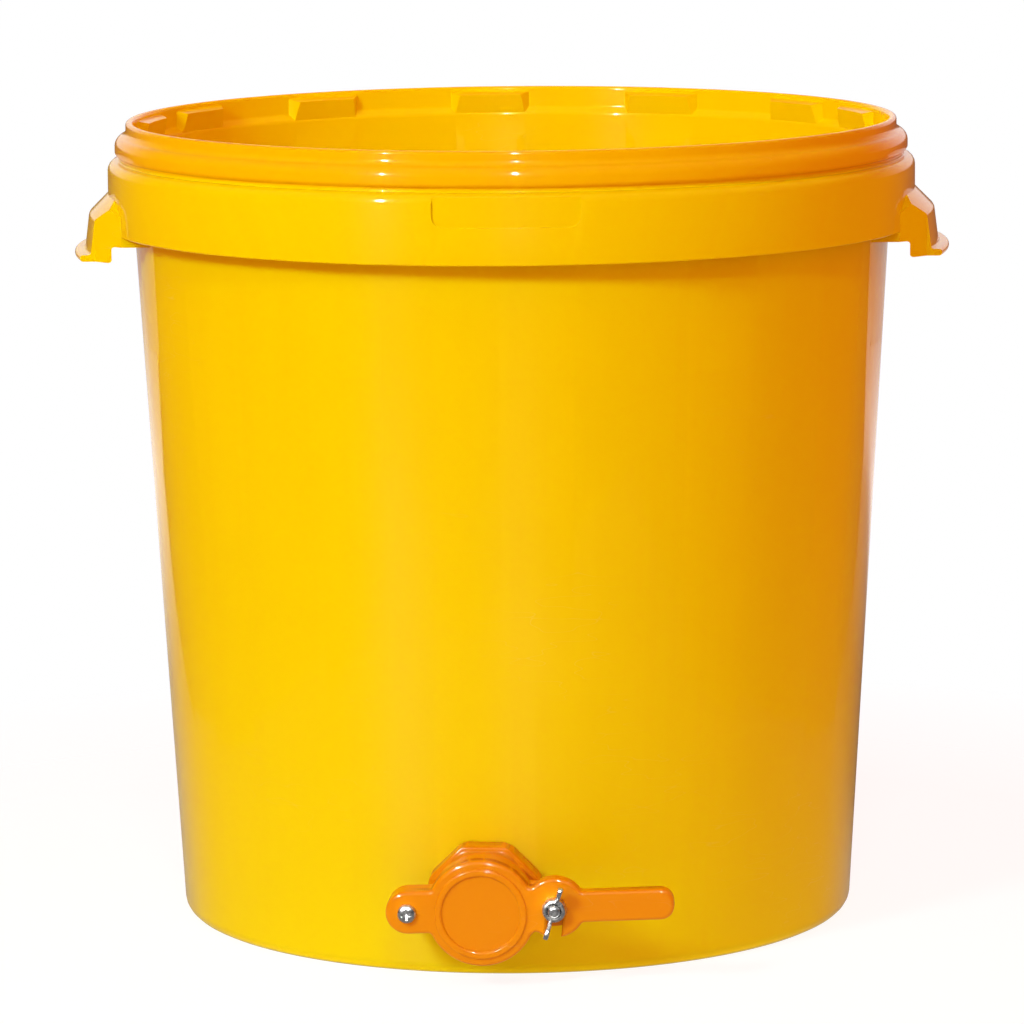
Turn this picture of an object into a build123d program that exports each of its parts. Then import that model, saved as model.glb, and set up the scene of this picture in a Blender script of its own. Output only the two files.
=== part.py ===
from build123d import *
from math import cos, radians, sin, sqrt, tan
import os

# Honey settling tank: a tapered moulded pail with a swing-blade gate at the foot of its front.
# Millimetres, +Z up, origin at the centre of the base, the gate towards -Y.

# Tank wall and base
TANK_HEIGHT = 389.0
BASE_RADIUS = 164.0        # the wall's outer line at the ground
WALL_DRAFT = 3.3           # degrees, the wall leans outwards
BASE_WALL = 2.4            # wall thickness at the floor
TOP_WALL = 2.8             # wall thickness where the straight band begins
FLOOR_THICKNESS = 2.8
BASE_CORNER = 7.0
FLOOR_CORNER = 5.0
FOOT_RING_WIDTH = 9.0      # flat ring that the tank stands on
FOOT_RING_INSET = 7.0      # from the wall's line to the ring's outer edge
FOOT_DEPTH = 2.0           # floor raised inside the foot ring
CENTRE_PAD_RADIUS = 30.0   # pad round the moulding gate, level with the foot ring

# Rim, snap bead and skirt, all measured from the rim's top edge
RIM_THICKNESS = 3.6
RIM_LIP = 0.6              # rim stands this far outside the wall's line
NECK_HEIGHT = 6.0
BEAD_SHOULDER = 2.0
BEAD_STAND = 5.4
BEAD_HEIGHT = 7.5
GROOVE_DEPTH = 2.0
GROOVE_HEIGHT = 3.0
SKIRT_STAND = 9.0
SKIRT_HEIGHT = 33.0
SKIRT_WALL = 2.3
SKIRT_EDGE = 3.0
RIM_ROUND = 1.6
LEDGE_DROP = 10.5          # rim top to the ledge inside
LEDGE_HEIGHT = 3.0
LEDGE_STEP = 2.8           # the wall under the ledge stands this far inside the rim

# Recess in the skirt's front, for lifting a lid
TAB_WIDTH = 68.0
TAB_HEIGHT = 15.5
TAB_DEPTH = 1.0
TAB_CORNER = 5.0

# Stacking lugs: pads above the ledge and ribs lower down, in the same places
LUG_OFFSETS = (0, 28.5, 55.8, 74)   # degrees to either side of the back and of the front
LUG_TURN = 4.15            # degrees, the whole pattern against the grips
LUG_WIDTH = 43.0
LUG_SIDE_RUN = 6.0         # sloped ends
PAD_DEPTH = 4.6
PAD_DROP = 2.6             # rim top to the back of a pad's sloped top
PAD_TOP_FALL = 1.3
RIB_DEPTH = 2.6
RIB_DROP = 23.5            # rim top to the top of a rib, which fades out into the wall below

# Side grips
GRIP_DROP = 34.5           # rim top to where the grip's roof leaves the skirt
GRIP_STAND = 9.3
GRIP_LEAN = 2.2            # its outside leans out towards the lip
GRIP_HALF_WIDTH = 50.0
GRIP_ROOT_HALF_WIDTH = 63.0
GRIP_CORNER_DROP = 8.2     # roof's crest to where its clipped corner meets the skirt
GRIP_CORNER_REACH = 8.0    # and how far that corner runs along the grip's end
GRIP_WALL = 2.3
WEB_BELOW_SKIRT = 4.5      # web that closes the grip's end against the wall
WEB_STEP = 6.0
WEB_ROUND = 1.5
GRIP_BELOW_SKIRT = 12.5
LIP_STAND = 7.2
LIP_THICKNESS = 3.2
LIP_ROUND = 1.4
GRIP_EDGE = 2.0
OVERLAP = 1.0              # how far an added feature reaches into the wall it stands on

# Place of the gate on the wall
GATE_HEIGHT = 39.05
GATE_AZIMUTH = -4.25       # degrees from the front, towards -X
GATE_ROLL = 2.65           # degrees, as the gate was tightened

# Gate body, along its own axis outwards from the wall
GATE_BORE = 38.0
SPIGOT_WALL = 4.0
SPIGOT_CLEARANCE = 0.3
OUTER_GASKET = 1.2         # thinnest place
INNER_GASKET = 1.5
GASKET_LAND = 3.0
COLLAR_LAND = 3.5
COLLAR_DEPTH = 10.0
COLLAR_EDGE = 1.6
COLLAR_TURN = -3.3         # degrees, the octagon against the line of the ears
NECK_WALL = 5.2
NECK_LENGTH = 5.8
SEAT_LAND = 6.2
SEAT_DEPTH = 7.5
SEAT_EDGE = 1.2
OCTAGON_FLAT_UP = 22.5     # degrees, turns an octagon so that a flat is on top
NUT_LAND = 7.0
NUT_DEPTH = 9.0
NUT_EDGE = 1.2
SPIGOT_BEYOND_NUT = 3.0

# Blade
BLADE_THICKNESS = 6.5
BLADE_EDGE = 2.0
BLADE_JOIN = 2.5           # fillet where ear, lobe and lever meet the disc
EAR_RISE = 1.5             # ears and lever lie this far above the disc's centre
PIVOT_BEYOND_SEAT = 9.0
STUD_BEYOND_SEAT = 9.2
EAR_RADIUS = 10.1
LOBE_RADIUS = 14.2
LEVER_LENGTH = 55.0        # clamp bolt to lever end
LEVER_WIDTH = 14.6
LEVER_END = 6.3
SLOT_CLEARANCE = 0.4
SLOT_ANGLE = 24.0          # degrees of swing until the bolt is outside the hook
RING_WIDTH = 3.4
RING_INSET = 3.7           # blade's edge to the raised ring
RING_HEIGHT = 1.3
RING_ROUND = 1.1

# Fasteners
SCREW_D = 4.0
SCREW_HEAD_D = 8.8
SCREW_HEAD_H = 3.0
SCREW_HEAD_ROUND = 2.4
CROSS_LENGTH = 4.8
CROSS_WIDTH = 1.0
CROSS_DEPTH = 1.6
RUNNING_CLEARANCE = 0.05
HEXAGON_CORNER = 0.555     # turned-off corner radius, as a share of the flats
PIVOT_WASHER_D = 9.0
PIVOT_WASHER_H = 0.8
PIVOT_NUT_FLATS = 7.0
PIVOT_NUT_H = 3.2
THREAD_BEYOND_NUT = 1.5
BOLT_D = 6.0
BOLT_HEAD_FLATS = 10.0
BOLT_HEAD_H = 4.0
BOLT_POCKET = 2.5
BOLT_BEYOND_NUT = 1.4
BOLT_END_ROUND = 2.2
CLAMP_WASHER_D = 11.0
CLAMP_WASHER_H = 1.0
WING_BOSS_D = 11.6
WING_BOSS_TOP_D = 10.6
WING_BOSS_H = 4.5
WING_SPAN = 25.5
WING_HEIGHT = 10.0
WING_THICKNESS = 2.4
WING_TIP_WIDTH = 4.2
WING_TIP_DEPTH = 5.0
WING_FOOT = 0.8            # gap from the washer to a wing's root
WING_ROUND = 1.8
WING_ANGLE = 70.0          # degrees, how the nut was left


def wall_radius(z):
    """Outer radius of the tapered wall at a height."""
    return BASE_RADIUS + z * tan(radians(WALL_DRAFT))


def turned(plane, degrees):
    """The same plane, turned about its own z axis."""
    turn = radians(degrees)
    return Plane(plane.origin, plane.x_dir * cos(turn) + plane.y_dir * sin(turn), plane.z_dir)


def write(piece, name):
    piece.part.label = name
    export_step(piece.part, f"parts/{name}.step")


os.makedirs("parts", exist_ok=True)

# Heights and radii that follow from the driving sizes
floor_top = FOOT_DEPTH + FLOOR_THICKNESS
rim_radius = wall_radius(TANK_HEIGHT) + RIM_LIP
rim_inner = rim_radius - RIM_THICKNESS
bead_radius = rim_radius + BEAD_STAND
groove_radius = bead_radius - GROOVE_DEPTH
skirt_radius = rim_radius + SKIRT_STAND
skirt_inner = skirt_radius - SKIRT_WALL
bead_top = TANK_HEIGHT - NECK_HEIGHT - BEAD_SHOULDER
bead_bottom = bead_top - BEAD_HEIGHT
skirt_top = bead_bottom - GROOVE_HEIGHT
skirt_bottom = skirt_top - SKIRT_HEIGHT
ledge_top = TANK_HEIGHT - LEDGE_DROP
ledge_bottom = ledge_top - LEDGE_HEIGHT
ledge_radius = rim_inner - LEDGE_STEP
band_bottom = (ledge_radius + TOP_WALL - BASE_RADIUS) / tan(radians(WALL_DRAFT))
floor_radius = wall_radius(floor_top) - BASE_WALL
bead_web = bead_top - SKIRT_WALL
bead_inner = groove_radius - SKIRT_WALL
foot_outer = BASE_RADIUS - FOOT_RING_INSET
foot_inner = foot_outer - FOOT_RING_WIDTH


def inner_radius(z):
    """Inner radius of the wall between the floor and the straight band under the ledge."""
    rise = (z - floor_top) / (band_bottom - floor_top)
    return floor_radius + rise * (ledge_radius - floor_radius)


# Frame of the gate: origin on the wall's outside, z outwards square to the wall, x to the right
azimuth = radians(GATE_AZIMUTH)
draft = radians(WALL_DRAFT)
outward = Vector(sin(azimuth), -cos(azimuth), 0)
gate_plane = turned(
    Plane(
        origin=outward * wall_radius(GATE_HEIGHT) + Vector(0, 0, GATE_HEIGHT),
        x_dir=Vector(cos(azimuth), sin(azimuth), 0),
        z_dir=outward * cos(draft) - Vector(0, 0, sin(draft)),
    ),
    GATE_ROLL,
)
gate_axis = Axis(gate_plane.origin, gate_plane.z_dir)

# Sizes and stations along the gate's axis
spigot_radius = GATE_BORE / 2 + SPIGOT_WALL
wall_hole = spigot_radius + SPIGOT_CLEARANCE
gasket_radius = spigot_radius + GASKET_LAND
collar_flats = 2 * (spigot_radius + COLLAR_LAND)
nut_flats = 2 * (spigot_radius + NUT_LAND)
neck_radius = GATE_BORE / 2 + NECK_WALL
seat_radius = GATE_BORE / 2 + SEAT_LAND
wall_here = wall_radius(GATE_HEIGHT) - inner_radius(GATE_HEIGHT)
wall_sag = inner_radius(GATE_HEIGHT) - sqrt(inner_radius(GATE_HEIGHT) ** 2 - gasket_radius**2)
collar_back = OUTER_GASKET
collar_front = collar_back + COLLAR_DEPTH
seat_back = collar_front + NECK_LENGTH
seat_front = seat_back + SEAT_DEPTH
blade_front = seat_front + BLADE_THICKNESS
nut_face = -(wall_here + wall_sag + INNER_GASKET)
nut_back = nut_face - NUT_DEPTH
spigot_end = nut_back - SPIGOT_BEYOND_NUT
pivot_reach = seat_radius + PIVOT_BEYOND_SEAT
stud_reach = seat_radius + STUD_BEYOND_SEAT
washer_front = blade_front + CLAMP_WASHER_H
boss_front = washer_front + WING_BOSS_H

# Frames on the pivot screw's and the clamp bolt's axes
pivot_centre = gate_plane.from_local_coords((-pivot_reach, EAR_RISE, 0))
bolt_centre = gate_plane.from_local_coords((stud_reach, EAR_RISE, 0))
pivot_plane = Plane(pivot_centre, gate_plane.x_dir, gate_plane.z_dir)
bolt_plane = Plane(bolt_centre, gate_plane.x_dir, gate_plane.z_dir)

# Solid cones of the wall's outside and inside, which shape the two gaskets
with BuildPart() as outside_cone:
    with BuildSketch(Plane.XZ):
        top = 2 * GATE_HEIGHT
        with BuildLine():
            Polyline((0, 0), (wall_radius(0), 0), (wall_radius(top), top), (0, top), close=True)
        make_face()
    revolve(axis=Axis.Z)

with BuildPart() as inside_cone:
    with BuildSketch(Plane.XZ):
        with BuildLine():
            Polyline((0, 0), (inner_radius(0), 0), (inner_radius(top), top), (0, top), close=True)
        make_face()
    revolve(axis=Axis.Z)


def ring_of(section, plan, low, high):
    """A section of (radius, height, corner) turned about the tank's axis, kept inside a plan outline."""
    with BuildPart() as piece:
        with BuildSketch(Plane.XZ):
            with BuildLine():
                corners = [corner for _, _, corner in section]
                FilletPolyline(*[(r, z) for r, z, _ in section], radius=corners, close=True)
            make_face()
        revolve(axis=Axis.Z)
        with BuildSketch(Plane.XY.offset(low)):
            Polygon(*plan, align=None)
        extrude(amount=high - low, mode=Mode.INTERSECT)
    return piece.part


# Stacking lugs: a pad on the rim's inside and, under it, a rib that fades out into the wall
pad_top = TANK_HEIGHT - PAD_DROP
rib_top = TANK_HEIGHT - RIB_DROP
pad_radius = rim_inner - PAD_DEPTH
pad_foot = ledge_bottom - (ledge_radius - pad_radius) - OVERLAP
rib_radius = ledge_radius - RIB_DEPTH
wall_lean = (ledge_radius - floor_radius) / (band_bottom - floor_top)
rib_bottom = band_bottom - (RIB_DEPTH + OVERLAP / 2) / wall_lean


def lug_plan(face, root):
    """Outline from above, narrower at the lug's face than at its root."""
    slope = LUG_SIDE_RUN / (root - face)
    half = [(face - OVERLAP, LUG_WIDTH / 2 - LUG_SIDE_RUN - OVERLAP * slope)]
    half.append((root + OVERLAP, LUG_WIDTH / 2 + OVERLAP * slope))
    return [(x, -y) for x, y in half] + half[::-1]


pad = ring_of(
    [
        (rim_inner + OVERLAP, pad_top, 0),
        (rim_inner, pad_top, 0),
        (pad_radius, pad_top - PAD_TOP_FALL, PAD_DEPTH / 4),
        (pad_radius, ledge_bottom, 0),
        (ledge_radius + OVERLAP, pad_foot, 0),
        (rim_inner + OVERLAP, ledge_bottom, 0),
    ],
    lug_plan(pad_radius, rim_inner),
    pad_foot,
    TANK_HEIGHT,
)
rib = ring_of(
    [
        (ledge_radius + OVERLAP, rib_top, 0),
        (ledge_radius, rib_top, 0),
        (rib_radius, rib_top - RIB_DEPTH, RIB_DEPTH / 4),
        (rib_radius, rib_bottom, 0),
        (rib_radius + OVERLAP, rib_bottom, 0),
    ],
    lug_plan(rib_radius, ledge_radius),
    rib_bottom,
    TANK_HEIGHT,
)

lug_angles = {side + turn * offset for side in (90, 270) for turn in (1, -1) for offset in LUG_OFFSETS}
lug_places = [Location((0, 0, 0), (0, 0, angle + LUG_TURN)) for angle in sorted(lug_angles)]

# Side grip: the skirt bulges out over a finger pocket that is open below
grip_top = TANK_HEIGHT - GRIP_DROP
grip_radius = skirt_radius + GRIP_STAND
web_bottom = skirt_bottom - WEB_BELOW_SKIRT
grip_bottom = skirt_bottom - GRIP_BELOW_SKIRT
lip_radius = grip_radius + LIP_STAND
grip_end_x = sqrt(grip_radius**2 - GRIP_HALF_WIDTH**2)
root_end_x = sqrt(skirt_radius**2 - GRIP_ROOT_HALF_WIDTH**2)
end_slope = (GRIP_ROOT_HALF_WIDTH - GRIP_HALF_WIDTH) / (grip_end_x - root_end_x)

def grip_plan(wall):
    """Outline from above, or that far inside it: webs straight out from the tank, then slanted ends."""
    end_half = GRIP_HALF_WIDTH - wall * sqrt(1 + end_slope**2)
    root_half = GRIP_ROOT_HALF_WIDTH - wall
    root_x = grip_end_x - (root_half - end_half) / end_slope
    half = [(0, root_half), (root_x, root_half), (grip_end_x, end_half), (lip_radius + GRIP_WALL, end_half)]
    return [(x, -y) for x, y in half] + half[::-1]


def roof(r, below=0.0):
    """Height of the grip's 45 degree roof at a radius, or that far under it."""
    return grip_top + skirt_radius - r - below * sqrt(2)


def corner_plane(side):
    """Facet that clips the corner of roof, end and skirt on one side; its z points up."""
    crest = Vector(sqrt(skirt_radius**2 - GRIP_HALF_WIDTH**2), side * GRIP_HALF_WIDTH, grip_top)
    root = Vector(root_end_x, side * GRIP_ROOT_HALF_WIDTH, grip_top - GRIP_CORNER_DROP)
    along_end = Vector(1, -side * end_slope, 0).normalized()
    edge = root + along_end * GRIP_CORNER_REACH
    edge.Z = roof(sqrt(edge.X**2 + edge.Y**2))
    normal = (crest - root).cross(edge - root)
    return Plane(root, edge - root, normal * side)


pocket_low = grip_bottom - GRIP_WALL
pocket_high = grip_top + GRIP_STAND
with BuildPart() as finger_pocket:
    add(ring_of(
        [
            (wall_radius(pocket_low) - 2 * OVERLAP, pocket_low, 0),
            (grip_radius + GRIP_LEAN - GRIP_WALL, pocket_low, 0),
            (grip_radius - GRIP_WALL, roof(grip_radius - GRIP_WALL, GRIP_WALL), 0),
            (skirt_inner, roof(skirt_inner, GRIP_WALL), 0),
            (skirt_inner, pocket_high, 0),
            (wall_radius(pocket_high) - 2 * OVERLAP, pocket_high, 0),
        ],
        grip_plan(GRIP_WALL),
        pocket_low,
        pocket_high,
    ))
    for side in (1, -1):
        split(bisect_by=corner_plane(side).offset(-GRIP_WALL), keep=Keep.BOTTOM)

with BuildPart() as skirt_window:
    add(finger_pocket.part)
    with BuildSketch(Plane.XY.offset(pocket_low)):
        Circle(skirt_radius + GRIP_WALL)
        Circle(skirt_inner - GRIP_WALL, mode=Mode.SUBTRACT)
    extrude(amount=pocket_high - pocket_low, mode=Mode.INTERSECT)

with BuildPart() as grip:
    add(ring_of(
        [
            (wall_radius(web_bottom) - OVERLAP, web_bottom, 0),
            (grip_radius - WEB_STEP, web_bottom, WEB_ROUND),
            (grip_radius - WEB_STEP, grip_bottom, WEB_ROUND),
            (lip_radius, grip_bottom, LIP_ROUND),
            (lip_radius, grip_bottom + LIP_THICKNESS, LIP_ROUND),
            (grip_radius + GRIP_LEAN, grip_bottom + LIP_THICKNESS, LIP_ROUND),
            (grip_radius, roof(grip_radius), GRIP_EDGE),
            (skirt_radius - SKIRT_WALL / 2, roof(skirt_radius - SKIRT_WALL / 2), 0),
            (wall_radius(grip_top) - OVERLAP, grip_top, 0),
        ],
        grip_plan(0),
        pocket_low,
        pocket_high,
    ))
    for side in (1, -1):
        split(bisect_by=corner_plane(side), keep=Keep.BOTTOM)
    add(finger_pocket.part, mode=Mode.SUBTRACT)

# Recess for lifting a lid: a shallow step that follows the skirt's curve
with BuildPart() as tab_recess:
    with BuildSketch(Plane.XZ):
        with BuildLine():
            Polyline(
                (skirt_radius - TAB_DEPTH, skirt_top - TAB_HEIGHT),
                (skirt_radius + TAB_DEPTH, skirt_top - TAB_HEIGHT),
                (skirt_radius + TAB_DEPTH, skirt_top + TAB_HEIGHT),
                (skirt_radius - TAB_DEPTH, skirt_top + TAB_HEIGHT),
                close=True,
            )
        make_face()
    revolve(axis=Axis.Z)
    with BuildSketch(Plane.XZ.offset(skirt_radius / 2)):
        with Locations((0, skirt_top)):
            RectangleRounded(TAB_WIDTH, 2 * TAB_HEIGHT, TAB_CORNER)
    extrude(amount=skirt_radius, mode=Mode.INTERSECT)

# Tank body: one moulding, turned from its section, with grips, lugs, tab recess and gate hole
section = [
    (0, 0, 0),
    (CENTRE_PAD_RADIUS, 0, 0),
    (CENTRE_PAD_RADIUS + FOOT_DEPTH, FOOT_DEPTH, 0),
    (foot_inner - FOOT_DEPTH, FOOT_DEPTH, 0),
    (foot_inner, 0, 0),
    (BASE_RADIUS, 0, BASE_CORNER),
    (wall_radius(bead_web), bead_web, RIM_LIP),
    (bead_inner, bead_web, RIM_LIP),
    (bead_inner, skirt_top - SKIRT_WALL, RIM_LIP),
    (skirt_inner, skirt_top - SKIRT_WALL, SKIRT_WALL / 3),
    (skirt_inner, skirt_bottom, SKIRT_WALL / 3),
    (skirt_radius, skirt_bottom, SKIRT_WALL / 3),
    (skirt_radius, skirt_top, SKIRT_EDGE),
    (groove_radius, skirt_top, GROOVE_DEPTH / 4),
    (groove_radius, bead_bottom - GROOVE_DEPTH / 2, GROOVE_DEPTH / 4),
    (bead_radius, bead_bottom, GROOVE_DEPTH / 2),
    (bead_radius, bead_top, BEAD_SHOULDER),
    (rim_radius, bead_top + BEAD_SHOULDER, BEAD_SHOULDER),
    (rim_radius, TANK_HEIGHT, RIM_ROUND),
    (rim_inner, TANK_HEIGHT, RIM_ROUND),
    (rim_inner, ledge_top, LEDGE_STEP / 4),
    (ledge_radius, ledge_bottom, LEDGE_STEP / 2),
    (ledge_radius, band_bottom, 0),
    (floor_radius, floor_top, FLOOR_CORNER),
    (0, floor_top, 0),
]
with BuildPart() as tank_body:
    with BuildSketch(Plane.XZ):
        with BuildLine():
            corners = [corner for _, _, corner in section]
            FilletPolyline(*[(r, z) for r, z, _ in section], radius=corners, close=True)
        make_face()
    revolve(axis=Axis.Z)
    with PolarLocations(0, 2):
        add(skirt_window.part, mode=Mode.SUBTRACT)
    with PolarLocations(0, 2):
        add(grip.part)
    with Locations(*lug_places):
        add(pad)
    with Locations(*lug_places):
        add(rib)
    add(tab_recess.part, mode=Mode.SUBTRACT)
    with BuildSketch(gate_plane.offset(nut_face)):
        Circle(wall_hole)
    extrude(amount=collar_front - nut_face, mode=Mode.SUBTRACT)
write(tank_body, "tank_body")

# Outer gasket: soft ring, flat against the collar and following the wall
with BuildPart() as gate_outer_gasket:
    with BuildSketch(gate_plane.offset(nut_face)):
        Circle(gasket_radius)
        Circle(wall_hole, mode=Mode.SUBTRACT)
    extrude(amount=collar_back - nut_face)
    add(outside_cone.part, mode=Mode.SUBTRACT)
write(gate_outer_gasket, "gate_outer_gasket")

# Inner gasket: the same ring inside the tank, flat against the nut
with BuildPart() as gate_inner_gasket:
    with BuildSketch(gate_plane.offset(nut_face)):
        Circle(gasket_radius)
        Circle(wall_hole, mode=Mode.SUBTRACT)
    extrude(amount=-nut_face)
    add(inside_cone.part, mode=Mode.INTERSECT)
write(gate_inner_gasket, "gate_inner_gasket")

# Gate body: spigot through the wall, octagonal collar, neck and a flat seat with two ears
with BuildPart() as gate_body:
    with BuildSketch(gate_plane.offset(collar_back)):
        RegularPolygon(collar_flats / 2, 8, major_radius=False, rotation=COLLAR_TURN + OCTAGON_FLAT_UP)
    extrude(amount=COLLAR_DEPTH)
    fillet(gate_body.faces().sort_by(gate_axis)[-1].edges(), COLLAR_EDGE)
    with BuildSketch(gate_plane.offset(seat_back)) as seat_outline:
        Circle(seat_radius)
        for reach in (-pivot_reach, stud_reach):
            with Locations((reach / 2, EAR_RISE)):
                Rectangle(abs(reach), 2 * EAR_RADIUS)
            with Locations((reach, EAR_RISE)):
                Circle(EAR_RADIUS)
        fillet(seat_outline.vertices().filter_by_position(Axis.X, -seat_radius, seat_radius), BLADE_JOIN)
    extrude(amount=SEAT_DEPTH)
    fillet(gate_body.faces(Select.LAST).sort_by(gate_axis)[0].edges(), SEAT_EDGE)
    with BuildSketch(gate_plane.offset(collar_front)):
        Circle(neck_radius)
    extrude(amount=NECK_LENGTH)
    with BuildSketch(gate_plane.offset(spigot_end)):
        Circle(spigot_radius)
    extrude(amount=collar_back - spigot_end)
    with BuildSketch(gate_plane.offset(spigot_end)):
        Circle(GATE_BORE / 2)
    extrude(amount=seat_front - spigot_end, mode=Mode.SUBTRACT)
    with BuildSketch(pivot_plane.offset(seat_back)):
        Circle(SCREW_D / 2 + RUNNING_CLEARANCE)
    extrude(amount=SEAT_DEPTH, mode=Mode.SUBTRACT)
    with BuildSketch(bolt_plane.offset(seat_back)):
        Circle(BOLT_D / 2 + RUNNING_CLEARANCE)
    extrude(amount=SEAT_DEPTH, mode=Mode.SUBTRACT)
    with BuildSketch(bolt_plane.offset(seat_back)):
        RegularPolygon(BOLT_HEAD_FLATS / 2 + RUNNING_CLEARANCE, 6, major_radius=False)
    extrude(amount=BOLT_POCKET, mode=Mode.SUBTRACT)
write(gate_body, "gate_body")

# Ring nut: octagonal, screwed on to the spigot inside the tank
with BuildPart() as gate_ring_nut:
    with BuildSketch(gate_plane.offset(nut_back)):
        RegularPolygon(nut_flats / 2, 8, major_radius=False, rotation=OCTAGON_FLAT_UP)
    extrude(amount=NUT_DEPTH)
    fillet(gate_ring_nut.faces().sort_by(gate_axis)[0].edges(), NUT_EDGE)
    with BuildSketch(gate_plane.offset(nut_back)):
        Circle(spigot_radius + RUNNING_CLEARANCE)
    extrude(amount=NUT_DEPTH, mode=Mode.SUBTRACT)
write(gate_ring_nut, "gate_ring_nut")

# Blade: round shutter with a pivot ear, a hook over the clamp bolt and a hand lever
with BuildPart() as gate_blade:
    with BuildSketch(gate_plane.offset(seat_front)) as blade_outline:
        Circle(seat_radius)
        with Locations((-pivot_reach / 2, EAR_RISE)):
            Rectangle(pivot_reach, 2 * EAR_RADIUS)
        with Locations((-pivot_reach, EAR_RISE)):
            Circle(EAR_RADIUS)
        with Locations((stud_reach, EAR_RISE)):
            Circle(LOBE_RADIUS)
        with Locations((stud_reach + LEVER_LENGTH / 2, EAR_RISE)):
            RectangleRounded(LEVER_LENGTH, LEVER_WIDTH, LEVER_END)
        joins = blade_outline.vertices().filter_by_position(Axis.X, -seat_radius, stud_reach + LOBE_RADIUS)
        fillet(joins, BLADE_JOIN)
        with BuildLine(mode=Mode.PRIVATE) as swing:
            CenterArc((-pivot_reach, EAR_RISE), pivot_reach + stud_reach, -SLOT_ANGLE, SLOT_ANGLE)
        SlotArc(swing.edge(), BOLT_D + 2 * SLOT_CLEARANCE, mode=Mode.SUBTRACT)
        with Locations((-pivot_reach, EAR_RISE)):
            Circle(SCREW_D / 2 + RUNNING_CLEARANCE, mode=Mode.SUBTRACT)
    extrude(amount=BLADE_THICKNESS)
    rim_edges = gate_blade.faces().sort_by(gate_axis)[-1].outer_wire().edges()
    fillet(rim_edges, BLADE_EDGE)
    ring_radius = seat_radius - RING_INSET
    with BuildSketch(gate_plane.offset(blade_front)):
        Circle(ring_radius)
        Circle(ring_radius - RING_WIDTH, mode=Mode.SUBTRACT)
    extrude(amount=RING_HEIGHT)
    fillet(gate_blade.faces().sort_by(gate_axis)[-1].edges(), RING_ROUND)
write(gate_blade, "gate_blade")


def hexagon(flats):
    """Sketch of a hexagon with its corners turned off."""
    RegularPolygon(flats / 2, 6, major_radius=False)
    Circle(HEXAGON_CORNER * flats, mode=Mode.INTERSECT)


# Pivot screw: pan head with a cross recess, on the blade's ear
nut_seat = seat_back - PIVOT_WASHER_H
screw_end = nut_seat - PIVOT_NUT_H - THREAD_BEYOND_NUT
pivot_axis = Axis(pivot_plane.origin, pivot_plane.z_dir)
with BuildPart() as pivot_screw:
    with BuildSketch(pivot_plane.offset(blade_front)):
        Circle(SCREW_HEAD_D / 2)
    extrude(amount=SCREW_HEAD_H)
    fillet(pivot_screw.faces().sort_by(pivot_axis)[-1].edges(), SCREW_HEAD_ROUND)
    with BuildSketch(pivot_plane.offset(blade_front + SCREW_HEAD_H)):
        Rectangle(CROSS_LENGTH, CROSS_WIDTH)
        Rectangle(CROSS_WIDTH, CROSS_LENGTH)
    extrude(amount=-CROSS_DEPTH, mode=Mode.SUBTRACT)
    with BuildSketch(pivot_plane.offset(screw_end)):
        Circle(SCREW_D / 2)
    extrude(amount=blade_front - screw_end)
write(pivot_screw, "pivot_screw")

with BuildPart() as pivot_washer:
    with BuildSketch(pivot_plane.offset(nut_seat)):
        Circle(PIVOT_WASHER_D / 2)
        Circle(SCREW_D / 2 + RUNNING_CLEARANCE, mode=Mode.SUBTRACT)
    extrude(amount=PIVOT_WASHER_H)
write(pivot_washer, "pivot_washer")

with BuildPart() as pivot_nut:
    with BuildSketch(pivot_plane.offset(nut_seat)):
        hexagon(PIVOT_NUT_FLATS)
        Circle(SCREW_D / 2 + RUNNING_CLEARANCE, mode=Mode.SUBTRACT)
    extrude(amount=-PIVOT_NUT_H)
write(pivot_nut, "pivot_nut")

# Clamp bolt: head let into the back of the ear, domed end in front of the wing nut
bolt_end = boss_front + BOLT_BEYOND_NUT
bolt_axis = Axis(bolt_plane.origin, bolt_plane.z_dir)
with BuildPart() as clamp_bolt:
    with BuildSketch(bolt_plane.offset(seat_back + BOLT_POCKET)):
        hexagon(BOLT_HEAD_FLATS)
    extrude(amount=-BOLT_HEAD_H)
    with BuildSketch(bolt_plane.offset(seat_back + BOLT_POCKET)):
        Circle(BOLT_D / 2)
    extrude(amount=bolt_end - seat_back - BOLT_POCKET)
    fillet(clamp_bolt.faces().sort_by(bolt_axis)[-1].edges(), BOLT_END_ROUND)
write(clamp_bolt, "clamp_bolt")

with BuildPart() as clamp_washer:
    with BuildSketch(bolt_plane.offset(blade_front)):
        Circle(CLAMP_WASHER_D / 2)
        Circle(BOLT_D / 2 + 2 * RUNNING_CLEARANCE, mode=Mode.SUBTRACT)
    extrude(amount=CLAMP_WASHER_H)
write(clamp_washer, "clamp_washer")

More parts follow.
